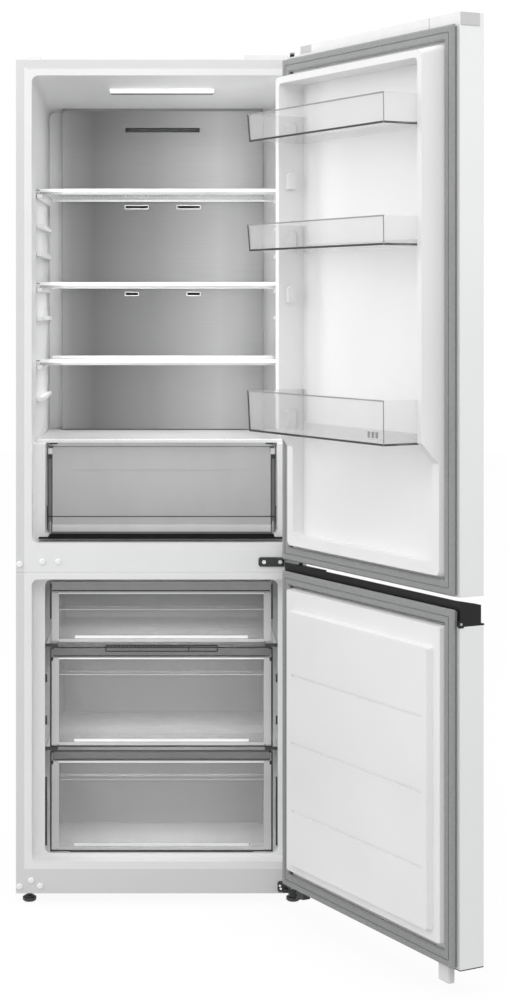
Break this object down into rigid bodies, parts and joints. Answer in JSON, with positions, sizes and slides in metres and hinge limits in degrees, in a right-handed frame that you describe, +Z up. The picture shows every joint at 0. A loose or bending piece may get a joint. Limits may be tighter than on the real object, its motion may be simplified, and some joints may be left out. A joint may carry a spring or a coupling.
{
  "type": "bottom freezer refrigerator",
  "caption": "White upright refrigerator over a bottom freezer, both doors hinged right and swung open on glass shelves, a crisper and freezer drawers",
  "frame": {"origin": "centre of the contact face of the front left levelling foot, on the floor", "axes": "+X to the right along the front, +Y from the front to the back, +Z up"},
  "size_m": [0.8732, 1.1491, 1.7416],
  "materials": {
    "enamel": "smooth white enamel, slight orange peel",
    "galvanised": "plain galvanised sheet",
    "black_steel": "black enamelled steel",
    "foam": "matt cream foam",
    "white_liner": "smooth white sheet plastic, soft gloss",
    "white_plastic": "fine grained white plastic",
    "duct_metal": "fine brushed grey metal, brush marks upright",
    "white_foam": "white moulded foam",
    "clear_glass": "clear glass, smooth",
    "clear_plastic": "clear polished plastic",
    "frosted_plastic": "clear plastic with a faint blue-grey cast",
    "lens": "milky lens, soft gloss",
    "dark_plastic": "fine matt dark grey plastic",
    "black_plastic": "fine matt black plastic",
    "grey_trim": "satin light grey plastic",
    "seal": "soft matt light grey seal",
    "bright_steel": "zinc plated steel",
    "aluminium": "bare aluminium sheet",
    "copper": "bare copper tube",
    "black_rubber": "matt black rubber"
  },
  "bodies": {
    "cabinet": {"outer_shell": "enamel", "back_panel": "galvanised", "compressor_deck": "galvanised", "cabinet_foam": "foam", "fridge_liner": "white_liner", "freezer_liner": "white_liner", "middle_rail": "enamel", "bottom_rail": "enamel", "duct_cover": "duct_metal", "air_duct": "white_foam", "lamp_lens": "lens", "upper_shelf": "clear_glass", "middle_shelf": "clear_glass", "lower_shelf": "clear_glass", "shelf_trims": "grey_trim", "crisper_cover": "clear_glass", "crisper_rails": "white_plastic", "freezer_duct_panel": "white_plastic", "evaporator": "aluminium", "fan_motor": "dark_plastic", "top_hinge": "bright_steel", "top_hinge_cover": "white_plastic", "middle_hinge": "black_steel", "bottom_hinge": "black_steel", "hinge_screws": "bright_steel", "blank_plugs": "white_plastic", "compressor_plate": "galvanised", "compressor": "black_steel", "compressor_grommets": "black_rubber", "drip_tray": "black_plastic", "refrigerant_pipes": "copper", "machine_cover": "galvanised"},
    "upper_door": {"upper_door_skin": "enamel", "upper_door_liner": "white_liner", "upper_door_foam": "foam", "upper_door_gasket": "seal", "upper_door_top_cap": "white_plastic", "upper_door_bottom_cap": "white_plastic"},
    "lower_door": {"lower_door_skin": "enamel", "lower_door_liner": "white_liner", "lower_door_foam": "foam", "lower_door_gasket": "seal", "lower_door_handle_cap": "black_plastic", "lower_door_bottom_cap": "white_plastic", "lower_door_stop": "white_plastic"},
    "top_balcony": {"top_balcony": "clear_plastic"},
    "middle_balcony": {"middle_balcony": "clear_plastic"},
    "bottom_balcony": {"bottom_balcony": "clear_plastic"},
    "crisper": {"crisper_drawer": "clear_plastic", "crisper_front": "dark_plastic"},
    "top_freezer_drawer": {"top_freezer_drawer": "frosted_plastic"},
    "middle_freezer_drawer": {"middle_freezer_drawer": "frosted_plastic"},
    "bottom_freezer_drawer": {"bottom_freezer_drawer": "frosted_plastic"},
    "front_left_foot": {"front_left_foot": "dark_plastic"},
    "front_right_foot": {"front_right_foot": "dark_plastic"},
    "rear_left_roller": {"rear_left_roller": "dark_plastic"},
    "rear_right_roller": {"rear_right_roller": "dark_plastic"},
    "evaporator_fan": {"evaporator_fan": "black_plastic"},
    "air_damper": {"air_damper": "white_plastic"}
  },
  "joints": [
    {"name": "upper_door_hinge", "type": "hinge", "parent": "cabinet", "child": "upper_door", "pos_m": [0.5545, -0.062, 1.2], "axis": [0, 0, 1], "range_deg": [-118, 0]},
    {"name": "lower_door_hinge", "type": "hinge", "parent": "cabinet", "child": "lower_door", "pos_m": [0.5545, -0.062, 0.38], "axis": [0, 0, 1], "range_deg": [-118, 0]},
    {"name": "top_balcony_lift", "type": "slide", "parent": "upper_door", "child": "top_balcony", "axis": [0, 0, 1], "range_m": [0, 0.03]},
    {"name": "middle_balcony_lift", "type": "slide", "parent": "upper_door", "child": "middle_balcony", "axis": [0, 0, 1], "range_m": [0, 0.03]},
    {"name": "bottom_balcony_lift", "type": "slide", "parent": "upper_door", "child": "bottom_balcony", "axis": [0, 0, 1], "range_m": [0, 0.03]},
    {"name": "crisper_slide", "type": "slide", "parent": "cabinet", "child": "crisper", "axis": [0, -1, 0], "range_m": [0, 0.2]},
    {"name": "top_freezer_drawer_slide", "type": "slide", "parent": "cabinet", "child": "top_freezer_drawer", "axis": [0, -1, 0], "range_m": [0, 0.26]},
    {"name": "middle_freezer_drawer_slide", "type": "slide", "parent": "cabinet", "child": "middle_freezer_drawer", "axis": [0, -1, 0], "range_m": [0, 0.26]},
    {"name": "bottom_freezer_drawer_slide", "type": "slide", "parent": "cabinet", "child": "bottom_freezer_drawer", "axis": [0, -1, 0], "range_m": [0, 0.16]},
    {"name": "front_left_foot_turn", "type": "hinge", "parent": "cabinet", "child": "front_left_foot", "pos_m": [0, 0, 0.005], "axis": [0, 0, 1], "continuous": true},
    {"name": "front_right_foot_turn", "type": "hinge", "parent": "cabinet", "child": "front_right_foot", "pos_m": [0.542, 0, 0.005], "axis": [0, 0, 1], "continuous": true},
    {"name": "rear_left_roller_spin", "type": "hinge", "parent": "cabinet", "child": "rear_left_roller", "pos_m": [0.0155, 0.485, 0.019], "axis": [1, 0, 0], "continuous": true},
    {"name": "rear_right_roller_spin", "type": "hinge", "parent": "cabinet", "child": "rear_right_roller", "pos_m": [0.5265, 0.485, 0.019], "axis": [1, 0, 0], "continuous": true},
    {"name": "evaporator_fan_spin", "type": "hinge", "parent": "cabinet", "child": "evaporator_fan", "pos_m": [0.271, 0.443, 0.592], "axis": [0, 1, 0], "continuous": true},
    {"name": "air_damper_tilt", "type": "hinge", "parent": "cabinet", "child": "air_damper", "pos_m": [0.271, 0.449, 0.773], "axis": [1, 0, 0], "range_deg": [0, 80]}
  ]
}
